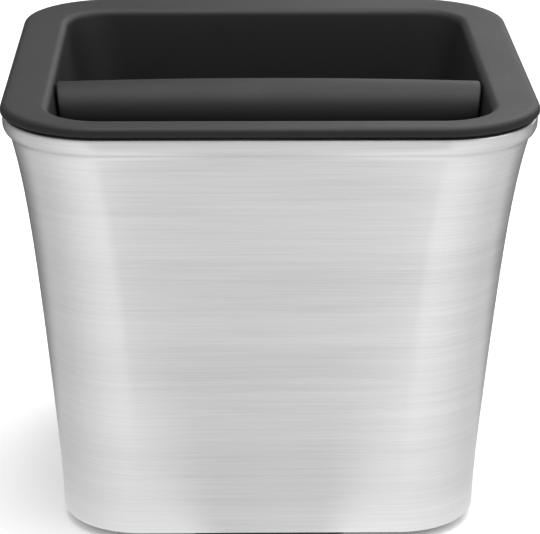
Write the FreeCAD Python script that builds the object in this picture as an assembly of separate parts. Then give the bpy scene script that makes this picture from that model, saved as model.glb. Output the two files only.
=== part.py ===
import FreeCAD, Part
import math
import os

from FreeCAD import Vector

# Espresso knock box, millimetres. +Z is up, the front faces -Y, and the origin is the
# middle of the footprint on the surface that the box stands on.
# A steel shell with a plastic base stands on four rubber feet. A plastic bin hangs in
# it by its flange, and a rubber covered knock bar drops over two ribs inside the bin.

# Driving dimensions
foot_height = 2.6             # feet below the steel
steel_bottom = foot_height
steel = 0.8                   # sheet thickness of the shell
shell_bottom_radius = 26.2    # plan corner radius at the shell's bottom edge
corner_swell = 1.4            # the corners are rounder by this half way up
neck_height = 131.6           # where the collar begins, above the steel's bottom
wall_half = 67.4              # half width at the bottom, if the wall's lean ran on evenly
wall_lean = 11.75             # the wall leans out this much from bottom to neck
neck_swell = 2.5              # and swells by this at the neck
neck_power = 7                # how late the swell sets in
foot_swell = 1.0              # and by this at the bottom
foot_power = 10
bottom_bend = 1.7             # outside radius of the turned-in bottom edge
bottom_hem = 1.7              # flat part of that edge
collar_half = 84.35
collar_fillet = 4.0           # outside radius where the wall turns out under the bead
collar_under = 48.0           # steepest lean of the bead's underside, degrees from upright
collar_top = 139.3
collar_edge = 1.0             # outside radius of the collar's top edge
collar_hem = 2.8              # flat part that the bin rests on

rim_half = 85.0
rim_radius = 32.2
rim_top = 143.1               # above the steel's bottom
rim_edge = 2.0                # radius along the rim's outer top edge
fascia = 2.8                  # height of the rim's outer face
dish = 1.3                    # the flange falls this much towards the mouth
mouth_fillet = 3.0
step_half = 83.2              # the flange's step that rests on the collar
bin_half_x = 54.8             # the bin's inner wall, if it ran down to the shell's bottom
bin_half_y = 55.8
bin_lean = 9.4                # from there to the rim's top the wall leans out by this
bin_swell = 6.0               # and by a part that grows towards the rim
bin_wall = 2.4
bin_floor = 12.0              # underside of the bin above the steel's bottom
bin_mouth_radius = 16.7
bin_bottom_radius = 14.0
bin_floor_fillet = 7.0
skirt_half = 79.9             # keeps the bin central in the collar
skirt_wall = 1.6
skirt_depth = 4.6

bar_y = -25.0                 # the bar lies forward of the middle
bar_drop = 1.9                # its ends lie this far below the rim's top
bar_end_radius = 11.4
bar_crown = 1.0               # the sleeve is this much thicker in the middle
bar_gap = 0.7                 # between each end and the bin's wall
bar_end_round = 0.8
core_radius = 8.0
core_wall = 1.5
core_half_length = 57.0
spigot_length = 11.0
fit_clearance = 0.1

rib_width = 5.0
rib_reach = 5.4               # how far each rib stands into the bin at the bar's axis
rib_rise = 3.0                # the rib's top above the bar's axis
rib_foot = 92.0               # the rib dies into the wall by this height
slot_clearance = 0.3

plate_thickness = 2.5
plate_clearance = 0.3
foot_length = 52.0
foot_width = 7.0
foot_setback = 4.8            # from the shell's outer face to the foot's outer edge
foot_edge = 0.8
stud_radius = 1.9
stud_spacing = 32.0
stud_head = 2.7
stud_head_height = 1.2

# Worked-out places
neck_half = wall_half + wall_lean + neck_swell
collar_centre = rim_half - rim_radius
neck_radius = neck_half - collar_centre
bar_axis = rim_top - bar_drop - bar_end_radius
seat = collar_top
foot_line = wall_half + foot_swell - foot_setback - foot_width / 2
foot_turns = {"foot_front": 180, "foot_right": 270, "foot_rear": 0, "foot_left": 90}
touch = 1e-4                  # edges closer to a level than this lie on it
wall_sections = 10            # the walls are lofted through this many stretches


def flare(z):
    """Half width of the shell's outer line at height z above the steel's bottom."""
    u = z / neck_height
    swell = neck_swell * u ** neck_power + foot_swell * (1 - u) ** foot_power
    return wall_half + wall_lean * u + swell


def bin_spread(z):
    """How much wider the bin's inner wall stands at height z than at the steel's bottom."""
    u = z / rim_top
    return bin_lean * u + bin_swell * u ** 3


def bin_side(z):
    """Half width of the bin's inner wall across the bar's ends."""
    return bin_half_x + bin_spread(z)


def between(low, high, z):
    """A radius that changes evenly from the shell's bottom edge to its neck."""
    return low + (high - low) * z / neck_height


def shell_radius(z):
    """Plan corner radius of the shell's outer line at height z."""
    u = z / neck_height
    return between(shell_bottom_radius, neck_radius, z) + corner_swell * 4 * u * (1 - u)


def rounded_wire(half_x, half_y, radius, z):
    """A rounded rectangle at height z above the steel's bottom."""
    level = steel_bottom + z
    diagonal = radius * math.sqrt(0.5)
    inner_x = half_x - radius
    inner_y = half_y - radius
    corners = []
    for sign_x, sign_y in ((1, 1), (-1, 1), (-1, -1), (1, -1)):
        centre = Vector(sign_x * inner_x, sign_y * inner_y, level)
        on_x = centre + Vector(sign_x * radius, 0, 0)
        on_y = centre + Vector(0, sign_y * radius, 0)
        middle = centre + Vector(sign_x * diagonal, sign_y * diagonal, 0)
        start, end = (on_x, on_y) if sign_x == sign_y else (on_y, on_x)
        corners.append((start, middle, end))
    edges = []
    for corner, following in zip(corners, corners[1:] + corners[:1]):
        edges.append(Part.Arc(*corner).toShape())
        edges.append(Part.LineSegment(corner[2], following[0]).toShape())
    return Part.Wire(edges)


def loft(sections, ruled=False):
    """A closed solid through rounded rectangles (half_x, half_y, radius, z)."""
    wires = [rounded_wire(*section) for section in sections]
    return Part.makeLoft(wires, True, ruled)


def slab(half, radius, low, high):
    """A rounded square plate from height low to height high."""
    face = Part.Face(rounded_wire(half, half, radius, low))
    return face.extrude(Vector(0, 0, high - low))


def outline_arc(start, middle, end):
    points = [Vector(x, 0, z) for x, z in (start, middle, end)]
    return Part.Arc(*points).toShape()


def outline_line(start, end):
    return Part.LineSegment(Vector(start[0], 0, start[1]), Vector(end[0], 0, end[1])).toShape()


def ring(edges, centre):
    """Carry a closed outline (half width, z) round a square with rounded corners.

    The corners turn about the points (+-centre, +-centre)."""
    face = Part.Face(Part.Wire(edges))
    face.translate(Vector(0, 0, steel_bottom))
    side = face.copy()
    side.translate(Vector(0, -centre, 0))
    side = side.extrude(Vector(0, 2 * centre, 0))
    corner = face.copy()
    corner.translate(Vector(0, centre, 0))
    corner = corner.revolve(Vector(centre, centre, 0), Vector(0, 0, 1), 90)
    pieces = []
    for turn in range(4):
        for piece in (side, corner):
            copy = piece.copy()
            copy.rotate(Vector(0, 0, 0), Vector(0, 0, 1), 90 * turn)
            pieces.append(copy)
    return pieces[0].multiFuse(pieces[1:]).removeSplitter()


def edges_where(shape, test):
    return [edge for edge in shape.Edges if test(edge)]


def level_edges(shape, z):
    """Edges that lie flat at height z above the steel's bottom."""
    level = steel_bottom + z

    def flat(edge):
        box = edge.BoundBox
        return abs(box.ZMin - level) < touch and abs(box.ZMax - level) < touch
    return edges_where(shape, flat)


def shell_tube():
    """The flared wall from the bottom bend to the neck."""
    heights = [bottom_bend + (neck_height - bottom_bend) * i / wall_sections
               for i in range(wall_sections + 1)]
    outer = []
    inner = []
    for z in heights:
        half = flare(z)
        radius = shell_radius(z)
        outer.append((half, half, radius, z))
        inner.append((half - steel, half - steel, radius - steel, z))
    return loft(outer).cut(loft(inner))


def arc_middle(centre, radius, degrees):
    angle = math.radians(degrees)
    return (centre[0] + radius * math.cos(angle), centre[1] + radius * math.sin(angle))


def shell_bottom_edge():
    """The sheet's bottom edge, bent inwards to carry the base plate."""
    half = flare(bottom_bend)
    radius = shell_radius(bottom_bend)
    bend = (half - bottom_bend, bottom_bend)
    inside = bottom_bend - steel
    hem_end = bend[0] - bottom_hem
    edges = [
        outline_arc((half, bottom_bend), arc_middle(bend, bottom_bend, -45), (bend[0], 0)),
        outline_line((bend[0], 0), (hem_end, 0)),
        outline_line((hem_end, 0), (hem_end, steel)),
        outline_line((hem_end, steel), (bend[0], steel)),
        outline_arc((bend[0], steel), arc_middle(bend, inside, -45), (half - steel, bottom_bend)),
        outline_line((half - steel, bottom_bend), (half, bottom_bend)),
    ]
    return ring(edges, half - radius)


def shell_collar():
    """The rolled bead at the top: fillet, bead, upright edge and a hem turned inwards."""
    slope = math.degrees(math.atan((wall_lean + neck_power * neck_swell) / neck_height))
    start = 180 - slope
    end = 180 - collar_under
    fillet_centre = arc_middle((neck_half, neck_height), collar_fillet, -slope)
    meet = arc_middle(fillet_centre, collar_fillet, end)
    bead = (collar_half - meet[0]) / (1 - math.cos(math.radians(collar_under)))
    bead_centre = arc_middle(meet, bead, end)
    middle = (start + end) / 2
    inner_fillet = collar_fillet + steel
    inner_bead = bead - steel
    inner_meet = arc_middle(fillet_centre, inner_fillet, end)
    inner_foot = (neck_half - steel, neck_height)
    shoulder = bead_centre[1]
    turn = (collar_half - collar_edge, collar_top - collar_edge)
    inside = collar_edge - steel
    hem_end = turn[0] - collar_hem
    upright = collar_half - steel
    edges = [
        outline_arc((neck_half, neck_height), arc_middle(fillet_centre, collar_fillet, middle),
                    meet),
        outline_arc(meet, arc_middle(bead_centre, bead, -collar_under / 2),
                    (collar_half, shoulder)),
        outline_line((collar_half, shoulder), (collar_half, turn[1])),
        outline_arc((collar_half, turn[1]), arc_middle(turn, collar_edge, 45),
                    (turn[0], collar_top)),
        outline_line((turn[0], collar_top), (hem_end, collar_top)),
        outline_line((hem_end, collar_top), (hem_end, collar_top - steel)),
        outline_line((hem_end, collar_top - steel), (turn[0], collar_top - steel)),
        outline_arc((turn[0], collar_top - steel), arc_middle(turn, inside, 45),
                    (upright, turn[1])),
        outline_line((upright, turn[1]), (upright, shoulder)),
        outline_arc((upright, shoulder), arc_middle(bead_centre, inner_bead, -collar_under / 2),
                    inner_meet),
        outline_arc(inner_meet, arc_middle(fillet_centre, inner_fillet, middle), inner_foot),
        outline_line(inner_foot, (neck_half, neck_height)),
    ]
    return ring(edges, collar_centre)


def outer_shell():
    return shell_tube().multiFuse([shell_bottom_edge(), shell_collar()])


def bin_section(z, grow):
    """The bin's inner plan at height z, grown outwards by grow."""
    radius = between(bin_bottom_radius, bin_mouth_radius, z) + grow
    wider = bin_spread(z) + grow
    return (bin_half_x + wider, bin_half_y + wider, radius, z)


def bin_body(low, high, grow):
    heights = [low + (high - low) * i / wall_sections for i in range(wall_sections + 1)]
    return loft([bin_section(z, grow) for z in heights])


def bin_cavity():
    low = bin_floor + bin_wall
    cavity = bin_body(low, rim_top - dish, 0)
    cavity = cavity.makeFillet(bin_floor_fillet, level_edges(cavity, low))
    mouth = bin_section(rim_top - dish, 0)
    edge = rim_half - rim_edge
    above = 1.0
    lean = (edge - mouth[0]) / dish
    top = (edge + above * lean, edge + above * lean, rim_radius - rim_edge + above * lean,
           rim_top + above)
    return cavity.fuse(loft([mouth, top], ruled=True))


def bin_flange():
    plate = slab(rim_half, rim_radius, rim_top - fascia, rim_top)
    plate = plate.makeFillet(rim_edge, level_edges(plate, rim_top))
    step_radius = rim_radius - (rim_half - step_half)
    return plate.fuse(slab(step_half, step_radius, seat, rim_top - fascia))


def bin_skirt():
    radius = skirt_half - collar_centre
    outer = slab(skirt_half, radius, seat - skirt_depth, seat)
    inner_half = skirt_half - skirt_wall
    return outer.cut(slab(inner_half, radius - skirt_wall, seat - skirt_depth, seat))


def rib(side):
    """A rib on one side wall. It ends inside the wall, clear of its outer face."""
    inner = bin_side(bar_axis) - rib_reach
    outer = bin_side(rib_foot) + bin_wall / 2
    top = bar_axis + rib_rise
    top_outer = bin_side(top) + bin_wall / 2
    corners = [(inner, rib_foot), (outer, rib_foot), (top_outer, top), (inner, top)]
    points = [Vector(side * x, bar_y - rib_width / 2, steel_bottom + z) for x, z in corners]
    face = Part.Face(Part.makePolygon(points + points[:1]))
    return face.extrude(Vector(0, rib_width, 0))


def inner_bin():
    solid = bin_body(bin_floor, seat, bin_wall)
    solid = solid.makeFillet(bin_floor_fillet + bin_wall, level_edges(solid, bin_floor))
    solid = solid.multiFuse([bin_flange(), bin_skirt()])
    solid = solid.cut(bin_cavity())
    mouth = level_edges(solid, rim_top - dish)
    solid = solid.makeFillet(mouth_fillet, mouth)
    return solid.multiFuse([rib(1), rib(-1)])


def bar_turned(outline):
    """Turn a closed outline (x along the bar, radius) about the bar's axis."""
    points = [Vector(x, bar_y, steel_bottom + bar_axis + radius) for x, radius in outline]
    face = Part.Face(Part.makePolygon(points + points[:1]))
    return face.revolve(Vector(0, bar_y, steel_bottom + bar_axis), Vector(1, 0, 0), 360)


def end_half(z):
    """Where the bar ends at height z, a little clear of the bin's leaning wall."""
    return bin_side(z) - bar_gap


def bar_block():
    """A block round the bar whose ends lean with the bin's walls."""
    deep = 2 * bar_end_radius
    low = bar_axis - deep
    high = bar_axis + deep
    reach = end_half(bar_axis)
    rise = end_half(bar_axis + bar_end_radius) - end_half(bar_axis - bar_end_radius)
    lean = rise / (2 * bar_end_radius)
    bottom = reach - lean * deep
    top = reach + lean * deep
    corners = [(-bottom, low), (bottom, low), (top, high), (-top, high)]
    points = [Vector(x, bar_y - deep, steel_bottom + z) for x, z in corners]
    face = Part.Face(Part.makePolygon(points + points[:1]))
    return face.extrude(Vector(0, 2 * deep, 0))


def rib_slots():
    """Two slots, open below, that drop over the bin's ribs and rest on their tops."""
    reach = 2 * bar_end_radius
    tall = rib_rise + reach
    inner = bin_side(bar_axis) - rib_reach - slot_clearance
    width = rib_width + 2 * slot_clearance
    level = steel_bottom + bar_axis - reach
    starts = (inner, -inner - reach)
    slots = [Part.makeBox(reach, width, tall, Vector(x, bar_y - width / 2, level))
             for x in starts]
    return Part.makeCompound(slots)


def bar_sleeve():
    """Soft rubber, a little barrel shaped, the full length of the bar."""
    reach = end_half(bar_axis)
    barrel = (reach ** 2 + bar_crown ** 2) / (2 * bar_crown)
    length = reach + bar_end_radius
    axis = steel_bottom + bar_axis
    middle = axis + bar_end_radius + bar_crown
    end = middle - barrel + math.sqrt(barrel ** 2 - length ** 2)
    bore = axis + core_radius
    crown = Part.Arc(Vector(-length, bar_y, end), Vector(0, bar_y, middle),
                     Vector(length, bar_y, end)).toShape()
    bottom = Part.makePolygon([Vector(length, bar_y, end), Vector(length, bar_y, bore),
                               Vector(-length, bar_y, bore), Vector(-length, bar_y, end)])
    face = Part.Face(Part.Wire([crown] + bottom.Edges))
    sleeve = face.revolve(Vector(0, bar_y, axis), Vector(1, 0, 0), 360).common(bar_block())

    def outer_end(edge):
        box = edge.BoundBox
        across = 2 * bar_end_radius - bar_end_round
        return box.ZLength > across and box.YLength > across and box.XLength < length / 2
    sleeve = sleeve.makeFillet(bar_end_round, edges_where(sleeve, outer_end))
    return sleeve.cut(rib_slots())


def bar_core():
    """A steel tube inside the sleeve."""
    inner = core_radius - core_wall
    return bar_turned([(-core_half_length, inner), (core_half_length, inner),
                       (core_half_length, core_radius), (-core_half_length, core_radius)])


def bar_end_plug(side):
    """A moulded plug: a spigot in the tube and a slotted foot that sits on the rib."""
    inner = core_radius - core_wall
    spigot = core_half_length - spigot_length
    outline = [(spigot, 0), (spigot, inner), (core_half_length, inner),
               (core_half_length, core_radius), (rim_half, core_radius), (rim_half, 0)]
    plug = bar_turned([(side * x, radius) for x, radius in outline])
    return plug.common(bar_block()).cut(rib_slots())


def base_plate():
    """A moulded floor that lies on the shell's bottom edge, with holes for the feet."""
    half = flare(bottom_bend)
    radius = shell_radius(bottom_bend)
    opening = half - bottom_bend - bottom_hem
    wide = half - bottom_bend - plate_clearance
    narrow = opening - plate_clearance
    plate = slab(wide, radius - (half - wide), steel, steel + plate_thickness)
    plug = slab(narrow, radius - (half - narrow), 0, steel)
    plate = plate.fuse(plug)
    holes = []
    for name in foot_turns:
        for x, y in stud_places(name):
            hole = Part.makeCylinder(stud_radius + fit_clearance, 2 * plate_thickness + steel,
                                     Vector(x, y, steel_bottom - plate_thickness / 2))
            holes.append(hole)
    return plate.cut(Part.makeCompound(holes))


def stud_places(name):
    turn = math.radians(foot_turns[name])
    places = []
    for along in (-stud_spacing / 2, stud_spacing / 2):
        x = along * math.cos(turn) - foot_line * math.sin(turn)
        y = along * math.sin(turn) + foot_line * math.cos(turn)
        places.append((x, y))
    return places


def foot(name):
    """A rubber strip with two studs pushed through the base plate."""
    end = foot_width / 2
    straight = foot_length / 2 - end
    strip = Part.makeBox(2 * straight, foot_width, foot_height,
                         Vector(-straight, foot_line - end, 0))
    caps = [Part.makeCylinder(end, foot_height, Vector(x, foot_line, 0))
            for x in (-straight, straight)]
    strip = strip.multiFuse(caps).removeSplitter()
    strip = strip.makeFillet(foot_edge, level_edges(strip, -steel_bottom))
    strip.rotate(Vector(0, 0, 0), Vector(0, 0, 1), foot_turns[name])
    through = steel + plate_thickness
    studs = []
    for x, y in stud_places(name):
        studs.append(Part.makeCylinder(stud_radius, through, Vector(x, y, steel_bottom)))
        studs.append(Part.makeCone(stud_head, stud_radius / 2, stud_head_height,
                                   Vector(x, y, steel_bottom + through)))
    return strip.multiFuse(studs)


def save(name, shape):
    solids = shape.Solids
    if len(solids) != 1 or not shape.isValid():
        raise ValueError(name + " is not one valid solid")
    solids[0].exportStep("parts/" + name + ".step")
    box = solids[0].BoundBox
    print("%-16s volume %9.1f  z %6.2f to %6.2f" % (name, solids[0].Volume, box.ZMin, box.ZMax))


os.makedirs("parts", exist_ok=True)
save("outer_shell", outer_shell())
save("base_plate", base_plate())
for foot_name in foot_turns:
    save(foot_name, foot(foot_name))
save("inner_bin", inner_bin())
save("bar_sleeve", bar_sleeve())
save("bar_core", bar_core())
save("bar_plug_left", bar_end_plug(-1))
save("bar_plug_right", bar_end_plug(1))
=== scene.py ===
import math

import bmesh
import bpy
from mathutils import Matrix, Vector

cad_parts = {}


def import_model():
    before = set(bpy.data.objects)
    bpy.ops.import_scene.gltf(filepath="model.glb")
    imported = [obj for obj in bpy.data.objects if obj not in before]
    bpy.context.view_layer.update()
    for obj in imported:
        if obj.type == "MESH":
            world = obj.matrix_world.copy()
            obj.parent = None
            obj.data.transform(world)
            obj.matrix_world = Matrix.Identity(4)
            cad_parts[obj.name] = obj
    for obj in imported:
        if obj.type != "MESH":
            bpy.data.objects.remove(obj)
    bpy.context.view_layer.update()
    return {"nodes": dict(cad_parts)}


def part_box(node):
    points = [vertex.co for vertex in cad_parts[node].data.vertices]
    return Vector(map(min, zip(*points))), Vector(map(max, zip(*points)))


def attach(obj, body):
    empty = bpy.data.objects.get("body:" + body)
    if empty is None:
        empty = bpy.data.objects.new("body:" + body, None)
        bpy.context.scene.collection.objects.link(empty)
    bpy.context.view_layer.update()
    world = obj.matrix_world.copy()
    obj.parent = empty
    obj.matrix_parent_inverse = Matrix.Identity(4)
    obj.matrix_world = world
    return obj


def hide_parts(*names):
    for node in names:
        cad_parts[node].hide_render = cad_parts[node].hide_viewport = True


# An espresso knock box: a brushed steel shell on rubber feet, a black bin hanging in it by
# its flange, and a rubber covered knock bar across the bin's mouth. Metres, +Z up, front -Y.
# Heights in a section (its z) are above the shell's bottom edge.

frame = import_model()

MM = 0.001
SHARP_ANGLE = math.radians(30)   # edges that turn more than this stay sharp

# Mesh steps
CORNER_STEPS = 24             # round a quarter turn in plan
SIDE_STEPS = 12               # along a straight side in plan
WALL_STEPS = 40               # up a wall
SHEET_STEPS = 8               # round a bend of the sheet
BEAD_STEPS = 10               # round the outside of the collar's bead
HEM_STEPS = 5                 # round the inside of the bottom bend
TURN_STEPS = 3                # round the inside of the collar's top edge
DISH_STEPS = 8                # across the flange's dish
RIM_STEPS = 10                # over the flange's top edge, and over the mouth's fillet
MOULDED_STEPS = 4             # round a small moulded edge
FLOOR_STEPS = 12              # round the fillet of the bin's floor
BEVEL_STEPS = 3               # round the edges of a rib
BAR_STEPS = 48                # along the bar
END_STEPS = 6                 # round the edge of the bar's end
ROUND_STEPS = 96              # round the bar

# Places that the frame gives. The steel's bottom edge is the level that heights start from.
shell_low, shell_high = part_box("outer_shell")
bin_low, bin_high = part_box("inner_bin")
sleeve_low, sleeve_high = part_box("bar_sleeve")
core_low, core_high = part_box("bar_core")
steel_bottom = shell_low.z
collar_top = shell_high.z - steel_bottom
collar_half = shell_high.x
rim_half = bin_high.x
rim_top = bin_high.z - steel_bottom
bar_y = (core_low.y + core_high.y) / 2
bar_axis = (core_low.z + core_high.z) / 2 - steel_bottom
core_radius = (core_high.z - core_low.z) / 2

# The shell's sheet
steel = 0.8 * MM              # thickness of the sheet
shell_bottom_radius = 26.2 * MM
corner_swell = 1.4 * MM       # what the plan corners' radius gains half way up
neck_height = 131.6 * MM      # where the wall ends and the collar begins
wall_half = 67.4 * MM
wall_lean = 11.75 * MM        # how much wider an even lean makes the wall at the neck
neck_swell = 2.5 * MM         # what the flare adds at the neck
neck_power = 7                # how late that flare comes
foot_swell = 1.0 * MM         # what the flare adds at the bottom
foot_power = 10
bottom_bend = 1.7 * MM
bottom_hem = 1.7 * MM
collar_fillet = 4.0 * MM
collar_under = 48.0           # steepest lean of the bead's underside, degrees from upright
collar_edge = 1.0 * MM
collar_hem = 2.8 * MM
sheet_edge = 0.1 * MM         # softening of the sheet's cut edges
neck_half = wall_half + wall_lean + neck_swell

# The bin
rim_radius = 32.2 * MM
rim_edge = 2.0 * MM
fascia = 2.8 * MM             # height of the lip, from its underside to its top
dish = 1.3 * MM               # how far the flange's top falls towards the mouth
mouth_fillet = 3.0 * MM
step_half = 83.2 * MM         # half width of the step that rests on the collar
bin_half_x = 54.8 * MM
bin_half_y = 55.8 * MM
bin_lean = 9.4 * MM           # how much wider an even lean makes the wall at the rim
bin_swell = 6.0 * MM          # what the flare adds at the rim
bin_wall = 2.4 * MM
bin_floor = bin_low.z - steel_bottom
bin_mouth_radius = 16.7 * MM
bin_bottom_radius = 14.0 * MM
bin_floor_fillet = 7.0 * MM
skirt_half = 79.9 * MM
skirt_wall = 1.6 * MM
skirt_depth = 4.6 * MM
moulded_edge = 0.35 * MM
collar_centre = rim_half - rim_radius
neck_radius = neck_half - collar_centre

# The bar and the ribs that it drops over
bar_crown = 1.0 * MM          # how much larger the bar's radius is at its middle
bar_end_radius = (sleeve_high.z - sleeve_low.z) / 2 - bar_crown
bar_gap = 0.7 * MM            # between the bar's end and the bin's wall
bar_end_round = 0.8 * MM
bore_clearance = 0.04 * MM
rib_width = 5.0 * MM
rib_reach = 5.4 * MM          # how far a rib stands out of the wall at the bar's axis
rib_rise = 3.0 * MM           # how far it stands above the bar's axis
rib_foot = 92.0 * MM          # height of its lower end
rib_edge = 0.5 * MM
slot_clearance = 0.3 * MM

# The studio
STUDIO_REACH = 4.0            # from the middle to each side of a sheet
TABLE_DEPTH = 0.5 * MM        # of the light table below the floor


# Shapes

def flare(z):
    """Half width of the shell's outer line at height z above the steel's bottom."""
    u = z / neck_height
    swell = neck_swell * u ** neck_power + foot_swell * (1 - u) ** foot_power
    return wall_half + wall_lean * u + swell


def bin_spread(z):
    """How much wider the bin's inner wall stands at height z than at the steel's bottom."""
    u = z / rim_top
    return bin_lean * u + bin_swell * u ** 3


def bin_side(z):
    """Half width of the bin's inner wall across the bar's ends."""
    return bin_half_x + bin_spread(z)


def between(low, high, z):
    """A value that changes evenly from low at the steel's bottom to high at the neck."""
    return low + (high - low) * z / neck_height


def shell_radius(z):
    """Plan corner radius of the shell's outer line at height z."""
    u = z / neck_height
    return between(shell_bottom_radius, neck_radius, z) + corner_swell * 4 * u * (1 - u)


def plan(half_x, half_y, radius):
    """Points round a rounded rectangle, anticlockwise from its back right corner."""
    corners = []
    for sign_x, sign_y, start in ((1, 1, 0), (-1, 1, 90), (-1, -1, 180), (1, -1, 270)):
        centre = Vector((sign_x * (half_x - radius), sign_y * (half_y - radius)))
        turns = [math.radians(start + 90 * i / CORNER_STEPS) for i in range(CORNER_STEPS + 1)]
        corners.append([centre + radius * Vector((math.cos(a), math.sin(a))) for a in turns])
    points = []
    for corner, following in zip(corners, corners[1:] + corners[:1]):
        side = [corner[-1].lerp(following[0], i / SIDE_STEPS) for i in range(SIDE_STEPS)]
        points += corner[:-1] + side
    return points


def new_piece(name, mesh):
    """A smooth object from a bmesh, which is used up."""
    bmesh.ops.recalc_face_normals(mesh, faces=mesh.faces)
    for face in mesh.faces:
        face.smooth = True
    data = bpy.data.meshes.new(name)
    mesh.to_mesh(data)
    mesh.free()
    data.set_sharp_from_angle(angle=SHARP_ANGLE)
    piece = bpy.data.objects.new(name, data)
    bpy.context.scene.collection.objects.link(piece)
    return piece


def join_rings(mesh, rings, closed):
    """Faces between rings of vertices, each of the same length."""
    following = rings[1:] + (rings[:1] if closed else [])
    for lower, upper in zip(rings, following):
        count = len(lower)
        for i in range(count):
            j = (i + 1) % count
            mesh.faces.new((lower[i], lower[j], upper[j], upper[i]))


def skin(sections, closed=False):
    """A bmesh through rounded rectangles (half_x, half_y, radius, z), capped if not closed."""
    mesh = bmesh.new()
    rings = []
    for half_x, half_y, radius, z in sections:
        level = steel_bottom + z
        rings.append([mesh.verts.new((p.x, p.y, level)) for p in plan(half_x, half_y, radius)])
    join_rings(mesh, rings, closed)
    if not closed:
        mesh.faces.new(rings[0])
        mesh.faces.new(rings[-1])
    return mesh


def from_centre(centre, radius, degrees):
    """The point (half width, z) of a wall's section at that distance and angle."""
    angle = math.radians(degrees)
    return (centre[0] + radius * math.cos(angle), centre[1] + radius * math.sin(angle))


def arc(centre, radius, start, end, steps):
    """Points on an arc of a wall's section, angles in degrees."""
    turns = [start + (end - start) * i / steps for i in range(steps + 1)]
    return [from_centre(centre, radius, degrees) for degrees in turns]


def rounded(corners, steps):
    """Points (half width, z) along an outline of (half width, z, radius) corners."""
    points = [corners[0][:2]]
    for before, corner, after in zip(corners, corners[1:], corners[2:]):
        here = Vector(corner[:2])
        back = (Vector(before[:2]) - here).normalized()
        ahead = (Vector(after[:2]) - here).normalized()
        opening = back.angle(ahead) / 2
        centre = here + (back + ahead).normalized() * corner[2] / math.sin(opening)
        start = here + back * corner[2] / math.tan(opening) - centre
        end = here + ahead * corner[2] / math.tan(opening) - centre
        turn = start.angle_signed(end)
        for i in range(steps + 1):
            point = centre + Matrix.Rotation(-turn * i / steps, 2) @ start
            points.append((point.x, point.y))
    points.append(corners[-1][:2])
    return points


def square(points, centre=collar_centre):
    """Square sections whose corners' centres all lie that far from each middle plane."""
    return [(half, half, half - centre, z) for half, z in points]


def shell_wall(z, inwards):
    """The section of the shell's wall at height z, that far inwards of its outer face."""
    radius = shell_radius(z)
    return (flare(z) - inwards, flare(z) - inwards, radius - inwards, z)


def collar_outline():
    """Up the fillet and the bead, over the top, and back inside: (half width, z) points."""
    wall_slope = math.degrees(math.atan((wall_lean + neck_power * neck_swell) / neck_height))
    start = 180 - wall_slope
    end = 180 - collar_under
    fillet_centre = from_centre((neck_half, neck_height), collar_fillet, -wall_slope)
    meet = from_centre(fillet_centre, collar_fillet, end)
    bead = (collar_half - meet[0]) / (1 - math.cos(math.radians(collar_under)))
    bead_centre = from_centre(meet, bead, end)
    turn = (collar_half - collar_edge, collar_top - collar_edge)
    hem_end = turn[0] - collar_hem
    points = arc(fillet_centre, collar_fillet, start, end, SHEET_STEPS)[1:]
    points += arc(bead_centre, bead, -collar_under, 0, BEAD_STEPS)[1:]
    points += arc(turn, collar_edge, 0, 90, SHEET_STEPS)
    points += [(hem_end + sheet_edge, collar_top), (hem_end, collar_top - sheet_edge),
               (hem_end, collar_top - steel + sheet_edge),
               (hem_end + sheet_edge, collar_top - steel)]
    points += arc(turn, collar_edge - steel, 90, 0, TURN_STEPS)
    points += arc(bead_centre, bead - steel, 0, -collar_under, SHEET_STEPS)
    points += arc(fillet_centre, collar_fillet + steel, end, start, SHEET_STEPS)[1:-1]
    return points


def shell_sections():
    """Once round the sheet: hem, bend, flare, collar, and back down inside."""
    half = flare(bottom_bend)
    bottom_centre = half - shell_radius(bottom_bend)
    bend = (half - bottom_bend, bottom_bend)
    hem_start = bend[0] - bottom_hem
    bottom = [(hem_start, sheet_edge), (hem_start + sheet_edge, 0)]
    bottom += arc(bend, bottom_bend, -90, 0, SHEET_STEPS)[:-1]
    heights = [bottom_bend + (neck_height - bottom_bend) * i / WALL_STEPS
               for i in range(WALL_STEPS + 1)]
    inside = arc(bend, bottom_bend - steel, 0, -90, HEM_STEPS)[1:]
    inside += [(hem_start + sheet_edge, steel), (hem_start, steel - sheet_edge)]

    sections = square(bottom, bottom_centre)
    sections += [shell_wall(z, 0) for z in heights]
    sections += square(collar_outline())
    sections += [shell_wall(z, steel) for z in reversed(heights)]
    sections += square(inside, bottom_centre)
    return sections


def bin_plan(z, grow):
    """The bin's inner plan at height z, grown outwards by grow."""
    radius = between(bin_bottom_radius, bin_mouth_radius, z) + grow
    wider = bin_spread(z) + grow
    return (bin_half_x + wider, bin_half_y + wider, radius, z)


def bin_wall_sections(bottom, fillet, grow, top):
    """Sections from the flat at height bottom, round its fillet and up the wall to top."""
    sections = []
    for i in range(FLOOR_STEPS + 1):
        angle = math.radians(90 * (1 - i / FLOOR_STEPS))
        inwards = fillet * (1 - math.cos(angle))
        sections.append(bin_plan(bottom + fillet * (1 - math.sin(angle)), grow - inwards))
    start = bottom + fillet
    sections += [bin_plan(start + (top - start) * i / WALL_STEPS, grow)
                 for i in range(1, WALL_STEPS + 1)]
    return sections


def mix_sections(first, last, steps):
    """Sections evenly between two, without either of them."""
    return [tuple(a + (b - a) * i / steps for a, b in zip(first, last))
            for i in range(1, steps)]


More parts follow.
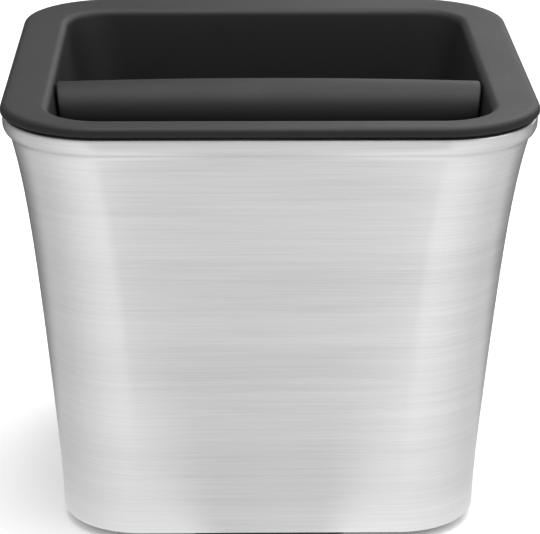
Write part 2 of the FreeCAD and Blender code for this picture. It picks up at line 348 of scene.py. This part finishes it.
def flange_outline():
    """Under the flange from skirt to step and rim, up the fascia and over the top edge."""
    seat = collar_top
    skirt_bottom = seat - skirt_depth
    step_top = rim_top - fascia
    corners = [
        (skirt_half - skirt_wall, seat, 0),
        (skirt_half - skirt_wall, skirt_bottom, moulded_edge),
        (skirt_half, skirt_bottom, moulded_edge),
        (skirt_half, seat, moulded_edge),
        (step_half, seat, moulded_edge),
        (step_half, step_top, moulded_edge / 2),
        (rim_half, step_top, moulded_edge),
        (rim_half, rim_top - rim_edge, 0),
    ]
    edge = arc((rim_half - rim_edge, rim_top - rim_edge), rim_edge, 0, 90, RIM_STEPS)
    return rounded(corners, MOULDED_STEPS)[:-1] + edge


def mouth_sections():
    """From the flange's dish, over the mouth's fillet, to the top of the inner wall."""
    mouth_z = rim_top - dish
    mouth = bin_plan(mouth_z, 0)
    edge = rim_half - rim_edge
    dish_width = edge - (mouth[0] + mouth[1]) / 2
    wall_z = mouth_z - 5 * mouth_fillet     # below the end of the fillet
    corners = [(dish_width, rim_top, 0), (0, mouth_z, mouth_fillet),
               (bin_spread(wall_z) - bin_spread(mouth_z), wall_z, 0)]
    sections = []
    for grow, z in rounded(corners, RIM_STEPS)[1:-1]:
        sections.append((mouth[0] + grow, mouth[1] + grow, mouth[2] + grow, z))
    rim = (edge, edge, rim_radius - rim_edge, rim_top)
    return mix_sections(rim, sections[0], DISH_STEPS) + sections


def bin_sections():
    """From the underside, up outside, over the flange, and down inside to the floor."""
    over = mouth_sections()
    wall_top = over[-1][3]
    inner = bin_wall_sections(bin_floor + bin_wall, bin_floor_fillet, 0, wall_top)
    sections = bin_wall_sections(bin_floor, bin_floor_fillet + bin_wall, bin_wall,
                                 collar_top)
    sections += square(flange_outline())
    sections += over
    sections += list(reversed(inner[:-1]))
    return sections


def prism(corners, low_y, high_y, edge):
    """A bmesh block from an outline of (x, z) corners, its edges rounded off by edge."""
    mesh = bmesh.new()
    rings = [[mesh.verts.new((x, y, steel_bottom + z)) for x, z in corners]
             for y in (low_y, high_y)]
    join_rings(mesh, rings, False)
    mesh.faces.new(rings[0])
    mesh.faces.new(rings[1])
    bmesh.ops.recalc_face_normals(mesh, faces=mesh.faces)
    if edge:
        bmesh.ops.bevel(mesh, geom=mesh.edges[:], offset=edge, segments=BEVEL_STEPS,
                        profile=0.5, affect="EDGES")
    return mesh


def rib(side):
    """A rib on one side wall. It ends inside the wall, clear of its outer face."""
    inner = bin_side(bar_axis) - rib_reach
    outer = bin_side(rib_foot) + bin_wall / 2
    top = bar_axis + rib_rise
    top_outer = bin_side(top) + bin_wall / 2
    corners = [(side * inner, rib_foot), (side * outer, rib_foot),
               (side * top_outer, top), (side * inner, top)]
    half = rib_width / 2
    return new_piece("rib", prism(corners, bar_y - half, bar_y + half, rib_edge))


def combine(piece, others, operation):
    """Joins or cuts piece with others, which are used up."""
    for other in others:
        modifier = piece.modifiers.new(operation, "BOOLEAN")
        modifier.operation = operation
        modifier.solver = "EXACT"
        modifier.object = other
    bpy.context.view_layer.update()
    result = piece.evaluated_get(bpy.context.evaluated_depsgraph_get())
    data = bpy.data.meshes.new_from_object(result)
    data.name = piece.name
    data.set_sharp_from_angle(angle=SHARP_ANGLE)
    piece.modifiers.clear()
    piece.data = data
    for other in others:
        bpy.data.objects.remove(other)
    return piece


def bar_end(height):
    """Where the bar ends, at a height from its axis: a little clear of the leaning wall."""
    top = bin_side(bar_axis + bar_end_radius)
    bottom = bin_side(bar_axis - bar_end_radius)
    lean = (top - bottom) / (2 * bar_end_radius)
    return bin_side(bar_axis) - bar_gap + lean * height


def sleeve_rings():
    """Rings (x as a share of the bar's end, inset from that end, radius) from end to end."""
    reach = bar_end(0)
    barrel = (reach ** 2 + bar_crown ** 2) / (2 * bar_crown)
    rings = []
    for i in range(BAR_STEPS + 1):
        share = 2 * i / BAR_STEPS - 1
        inset = bar_end_round * abs(share)
        x = share * reach
        radius = bar_end_radius + bar_crown - barrel + math.sqrt(barrel ** 2 - x ** 2)
        rings.append((share, inset, radius))
    return rings


def sleeve_outline():
    """Rings once round the sleeve's wall: along the barrel, round an end, and back inside."""
    turn = []
    for i in range(1, END_STEPS + 1):
        angle = math.radians(90 * i / END_STEPS)
        turn.append((bar_end_round * (1 - math.sin(angle)),
                     bar_end_radius - bar_end_round * (1 - math.cos(angle))))
    bore = core_radius + bore_clearance
    right = [(1, inset, radius) for inset, radius in turn] + [(1, 0, bore)]
    left = [(-1, 0, bore)] + [(-1, inset, radius) for inset, radius in reversed(turn)]
    return sleeve_rings() + right + left


def bar_slot(side):
    """A block that cuts the slot in one end of the sleeve, open below."""
    inner = bin_side(bar_axis) - rib_reach - slot_clearance
    low = bar_axis - 2 * bar_end_radius
    high = bar_axis + rib_rise
    corners = [(side * inner, low), (side * rim_half, low),
               (side * rim_half, high), (side * inner, high)]
    half = rib_width / 2 + slot_clearance
    return new_piece("slot", prism(corners, bar_y - half, bar_y + half, 0))


def bar_sleeve():
    """Barrel shaped rubber tube, with ends that lean and slots that drop over the ribs."""
    mesh = bmesh.new()
    rings = []
    for share, inset, radius in sleeve_outline():
        side = 1 if share > 0 else -1
        ring = []
        for i in range(ROUND_STEPS):
            angle = 2 * math.pi * i / ROUND_STEPS
            height = radius * math.sin(angle)
            x = share * bar_end(height) - side * inset
            ring.append(mesh.verts.new((x, bar_y + radius * math.cos(angle),
                                        steel_bottom + bar_axis + height)))
        rings.append(ring)
    join_rings(mesh, rings, True)
    sleeve = new_piece("bar_rubber_sleeve", mesh)
    return combine(sleeve, [bar_slot(-1), bar_slot(1)], "DIFFERENCE")


# Materials

def nodes_for(name):
    """A new material with its node tree and its surface shader."""
    material = bpy.data.materials.new(name)
    material.use_nodes = True
    tree = material.node_tree
    return material, tree, tree.nodes["Principled BSDF"]


def stretched(tree, scale):
    """Object coordinates in metres, times scale."""
    coordinates = tree.nodes.new("ShaderNodeTexCoord")
    mapping = tree.nodes.new("ShaderNodeMapping")
    mapping.inputs["Scale"].default_value = scale
    tree.links.new(coordinates.outputs["Object"], mapping.inputs["Vector"])
    return mapping.outputs["Vector"]


def noise(tree, scale, detail=3.0, roughness=0.5):
    """Noise from 0 to 1 with features about 1/scale in size along each axis."""
    texture = tree.nodes.new("ShaderNodeTexNoise")
    texture.inputs["Scale"].default_value = 1.0
    texture.inputs["Detail"].default_value = detail
    texture.inputs["Roughness"].default_value = roughness
    tree.links.new(stretched(tree, scale), texture.inputs["Vector"])
    return texture.outputs["Fac"]


def spread(tree, value, low, high, from_low=0.3, from_high=0.7):
    """Maps a value to the range low to high. Most of a noise lies from 0.3 to 0.7."""
    node = tree.nodes.new("ShaderNodeMapRange")
    node.inputs["From Min"].default_value = from_low
    node.inputs["From Max"].default_value = from_high
    node.inputs["To Min"].default_value = low
    node.inputs["To Max"].default_value = high
    tree.links.new(value, node.inputs["Value"])
    return node.outputs["Result"]


def combine_values(tree, operation, first, second):
    """A sum, product or angle of two values, each a socket or a number."""
    node = tree.nodes.new("ShaderNodeMath")
    node.operation = operation
    for socket, value in zip(node.inputs, (first, second)):
        if isinstance(value, float):
            socket.default_value = value
        else:
            tree.links.new(value, socket)
    return node.outputs["Value"]


def tint(tree, colour, value):
    """The colour times value."""
    node = tree.nodes.new("ShaderNodeMix")
    node.data_type = "RGBA"
    node.blend_type = "MULTIPLY"
    node.inputs["Factor"].default_value = 1.0
    sockets = [s for s in node.inputs if s.type == "RGBA"]
    sockets[0].default_value = (*colour, 1)
    tree.links.new(value, sockets[1])
    return [s for s in node.outputs if s.type == "RGBA"][0]


def bump(tree, height, distance, strength):
    """A normal that shows the height, whose full range is that distance."""
    node = tree.nodes.new("ShaderNodeBump")
    node.inputs["Strength"].default_value = strength
    node.inputs["Distance"].default_value = distance
    tree.links.new(height, node.inputs["Height"])
    return node.outputs["Normal"]


def brushed_steel():
    """Fine brush lines that run round the shell, with longer and shorter ones mixed."""
    material, tree, shader = nodes_for("brushed_steel")
    fine = noise(tree, scale=(30, 30, 3200), roughness=0.6)
    medium = noise(tree, scale=(10, 10, 550), roughness=0.6)
    broad = noise(tree, scale=(6, 6, 45))
    lines = combine_values(tree, "ADD", spread(tree, fine, low=-0.075, high=0.075),
                           spread(tree, medium, low=-0.045, high=0.045))
    tone = combine_values(tree, "ADD", lines, spread(tree, broad, low=0.94, high=1.06))
    grey = (0.72, 0.72, 0.725)
    tree.links.new(tint(tree, grey, tone), shader.inputs["Base Color"])
    rough = combine_values(tree, "ADD", spread(tree, fine, low=0.26, high=0.36),
                           spread(tree, medium, low=-0.02, high=0.03))
    tree.links.new(rough, shader.inputs["Roughness"])
    scratches = bump(tree, fine, distance=0.02 * MM, strength=0.35)
    tree.links.new(scratches, shader.inputs["Normal"])
    shader.inputs["Metallic"].default_value = 1.0
    shader.inputs["Anisotropic"].default_value = 0.75
    shader.inputs["Anisotropic Rotation"].default_value = 0.25
    tangent = tree.nodes.new("ShaderNodeTangent")
    tangent.direction_type = "RADIAL"
    tangent.axis = "Z"
    tree.links.new(tangent.outputs["Tangent"], shader.inputs["Tangent"])
    return material


def soft_black(name, colour, roughness, grain, depth, gloss=0.25):
    """Matt black plastic or rubber: a fine moulded grain and slightly uneven gloss."""
    material, tree, shader = nodes_for(name)
    pits = noise(tree, scale=(grain, grain, grain), roughness=0.55)
    cloud = noise(tree, scale=(35, 35, 35))
    tone = combine_values(tree, "MULTIPLY", spread(tree, pits, low=0.9, high=1.1),
                          spread(tree, cloud, low=0.94, high=1.06))
    tree.links.new(tint(tree, colour, tone), shader.inputs["Base Color"])
    pit_gloss = spread(tree, pits, low=roughness - 0.04, high=roughness + 0.04)
    rough = combine_values(tree, "ADD", pit_gloss, spread(tree, cloud, low=-0.025, high=0.025))
    tree.links.new(rough, shader.inputs["Roughness"])
    tree.links.new(bump(tree, pits, depth, strength=0.5), shader.inputs["Normal"])
    shader.inputs["Specular IOR Level"].default_value = gloss
    return material


def drawn_tube():
    """Plain steel tube with faint lines along it."""
    material, tree, shader = nodes_for("drawn_tube")
    lines = noise(tree, scale=(40, 2500, 2500), detail=2.0)
    grey = (0.62, 0.61, 0.60)
    tone = spread(tree, lines, low=0.9, high=1.1)
    tree.links.new(tint(tree, grey, tone), shader.inputs["Base Color"])
    tree.links.new(spread(tree, lines, low=0.25, high=0.4), shader.inputs["Roughness"])
    scratches = bump(tree, lines, distance=0.02 * MM, strength=0.4)
    tree.links.new(scratches, shader.inputs["Normal"])
    shader.inputs["Metallic"].default_value = 1.0
    return material


def paint(piece, material):
    """Makes that the piece's only material."""
    piece.data.materials.clear()
    piece.data.materials.append(material)


# The pieces

steel_look = brushed_steel()
plastic_look = soft_black("bin_plastic", (0.0135, 0.0135, 0.0137), roughness=0.5, grain=1600,
                          depth=0.05 * MM)
rubber_look = soft_black("bar_rubber", (0.0045, 0.0045, 0.0046), roughness=0.5, grain=2200,
                         depth=0.04 * MM, gloss=0.26)

shell = new_piece("steel_shell", skin(shell_sections(), closed=True))
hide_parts("outer_shell")
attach(shell, "shell")
paint(shell, steel_look)

black_bin = new_piece("black_bin", skin(bin_sections()))
combine(black_bin, [rib(-1), rib(1)], "UNION")
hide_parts("inner_bin")
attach(black_bin, "bin")
paint(black_bin, plastic_look)

sleeve = bar_sleeve()
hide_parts("bar_sleeve")
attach(sleeve, "bar")
paint(sleeve, rubber_look)

# CAD nodes whose shape stays
foot_look = soft_black("foot_rubber", (0.02, 0.02, 0.02), roughness=0.6, grain=2500,
                       depth=0.04 * MM)
base_look = soft_black("base_plastic", (0.03, 0.03, 0.031), roughness=0.5, grain=1500,
                       depth=0.05 * MM)
plug_look = soft_black("plug_plastic", (0.028, 0.028, 0.029), roughness=0.45, grain=1500,
                       depth=0.04 * MM)
tube_look = drawn_tube()
for node, look in (("base_plate", base_look), ("bar_core", tube_look),
                   ("bar_plug_left", plug_look), ("bar_plug_right", plug_look),
                   ("foot_front", foot_look), ("foot_right", foot_look),
                   ("foot_rear", foot_look), ("foot_left", foot_look)):
    paint(frame["nodes"][node], look)


# The studio

def studio_paper(glow):
    """Pale paper with hardly any mottle, that glows a little."""
    material, tree, shader = nodes_for("studio_paper")
    mottle = noise(tree, scale=(6, 6, 6))
    tone = spread(tree, mottle, low=0.995, high=1.005)
    tree.links.new(tint(tree, (0.93, 0.93, 0.93), tone), shader.inputs["Base Color"])
    shader.inputs["Roughness"].default_value = 0.9
    shader.inputs["Emission Color"].default_value = (1, 1, 1, 1)
    shader.inputs["Emission Strength"].default_value = glow
    return material


def glow_by_turn(glows):
    """A white glow that changes round the upright axis.

    Each row of glows is a turn from the front and a glow. A turn of -1 is the back, by way
    of the left, 0 is the front, and 1 is the back, by way of the right."""
    material = bpy.data.materials.new("studio_light_table")
    material.use_nodes = True
    tree = material.node_tree
    tree.nodes.clear()
    coordinates = tree.nodes.new("ShaderNodeTexCoord")
    parts = tree.nodes.new("ShaderNodeSeparateXYZ")
    tree.links.new(coordinates.outputs["Object"], parts.inputs["Vector"])
    ahead = combine_values(tree, "MULTIPLY", parts.outputs["Y"], -1.0)
    turn = combine_values(tree, "ARCTAN2", parts.outputs["X"], ahead)
    share = spread(tree, turn, low=0.0, high=1.0, from_low=-math.pi, from_high=math.pi)
    ramp = tree.nodes.new("ShaderNodeValToRGB")
    ramp.color_ramp.interpolation = "EASE"
    stops = ramp.color_ramp.elements
    given = len(stops)
    for i, (side, glow) in enumerate(glows):
        stop = stops[i] if i < given else stops.new(1.0)
        stop.position = (side + 1) / 2
        stop.color = (glow, glow, glow, 1)
    tree.links.new(share, ramp.inputs["Fac"])
    lamp = tree.nodes.new("ShaderNodeEmission")
    tree.links.new(ramp.outputs["Color"], lamp.inputs["Color"])
    output = tree.nodes.new("ShaderNodeOutputMaterial")
    tree.links.new(lamp.outputs["Emission"], output.inputs["Surface"])
    return material


def level_sheet(name):
    """A large square sheet at the level that the object stands on."""
    mesh = bmesh.new()
    bmesh.ops.create_grid(mesh, x_segments=1, y_segments=1, size=STUDIO_REACH)
    return new_piece(name, mesh)


def studio_floor(glow):
    """The paper that the object stands on. The steel mirrors the light table instead of it."""
    piece = level_sheet("studio_floor")
    paint(piece, studio_paper(glow))
    piece.visible_glossy = False


def light_table(glows):
    """What the steel mirrors below the horizon. Only mirrored rays see it."""
    piece = level_sheet("studio_light_table")
    paint(piece, glow_by_turn(glows))
    piece.visible_camera = False
    piece.visible_diffuse = False
    piece.visible_shadow = False
    piece.visible_transmission = False
    piece.location.z = -TABLE_DEPTH


def softbox(name, position, aim, width, height, power):
    """A rectangular area light that faces the point aim."""
    light = bpy.data.lights.new(name, "AREA")
    light.shape = "RECTANGLE"
    light.size = width
    light.size_y = height
    light.energy = power
    box = bpy.data.objects.new(name, light)
    box.location = position
    box.rotation_euler = (Vector(aim) - Vector(position)).to_track_quat("-Z", "Y").to_euler()
    bpy.context.scene.collection.objects.link(box)


def world(middle_glow, rise_right, rise_back, rise_up):
    """White light all round, that changes evenly to one side, behind and overhead."""
    sky = bpy.data.worlds.new("studio")
    sky.use_nodes = True
    tree = sky.node_tree
    background = tree.nodes["Background"]
    background.inputs["Color"].default_value = (1, 1, 1, 1)
    coordinates = tree.nodes.new("ShaderNodeTexCoord")
    parts = tree.nodes.new("ShaderNodeSeparateXYZ")
    tree.links.new(coordinates.outputs["Generated"], parts.inputs["Vector"])
    right = combine_values(tree, "MULTIPLY", parts.outputs["X"], rise_right)
    back = combine_values(tree, "MULTIPLY", parts.outputs["Y"], rise_back)
    up = combine_values(tree, "MULTIPLY", parts.outputs["Z"], rise_up)
    level = combine_values(tree, "ADD", right, back)
    glow = combine_values(tree, "ADD", combine_values(tree, "ADD", level, up), middle_glow)
    tree.links.new(glow, background.inputs["Strength"])
    bpy.context.scene.world = sky


def camera():
    """A long lens above and in front of the box, a little to the left."""
    position = (-0.01507, -0.82690, 0.36335)
    down = math.radians(19.450)
    turn = math.radians(1.1221)
    roll = math.radians(0.2173)
    data = bpy.data.cameras.new("camera")
    data.sensor_width = 36.0
    data.lens = 170.06
    view = bpy.data.objects.new("camera", data)
    ahead = Vector((math.sin(turn) * math.cos(down), math.cos(turn) * math.cos(down),
                    -math.sin(down)))
    right = Vector((math.cos(turn), -math.sin(turn), 0))
    up = right.cross(ahead)
    side = math.cos(roll) * right + math.sin(roll) * up
    top = math.cos(roll) * up - math.sin(roll) * right
    view.matrix_world = Matrix.Translation(position) @ Matrix((
        (side.x, top.x, -ahead.x, 0),
        (side.y, top.y, -ahead.y, 0),
        (side.z, top.z, -ahead.z, 0),
        (0, 0, 0, 1)))
    bpy.context.scene.collection.objects.link(view)
    bpy.context.scene.camera = view


# Darkest where the steel's left and right edges mirror it, bright in front and behind
table_glows = ((-1.0, 0.75), (-0.93, 0.5), (-0.83, 0.08), (-0.7, 0.3), (-0.5, 0.72),
               (-0.12, 1.1), (-0.06, 0.84), (0.06, 0.88), (0.12, 1.15), (0.5, 0.8),
               (0.7, 0.35), (0.83, 0.08), (0.93, 0.5), (1.0, 0.75))
middle = (0, 0, 0.08)
studio_floor(glow=0.13)
light_table(table_glows)
world(middle_glow=0.34, rise_right=0.08, rise_back=-0.14, rise_up=0.4)
softbox("back", (0.55, 1.2, 0.6), middle, width=1.0, height=0.5, power=2.4)
softbox("overhead", (0.25, 0.35, 1.0), middle, width=1.0, height=1.0, power=7)
softbox("high_front", (-0.03, -0.15, 1.2), middle, width=0.9, height=0.8, power=7.5)
softbox("right", (0.6, -0.2, 0.6), middle, width=0.5, height=0.5, power=0.7)
camera()
bpy.context.scene.view_settings.view_transform = "Standard"
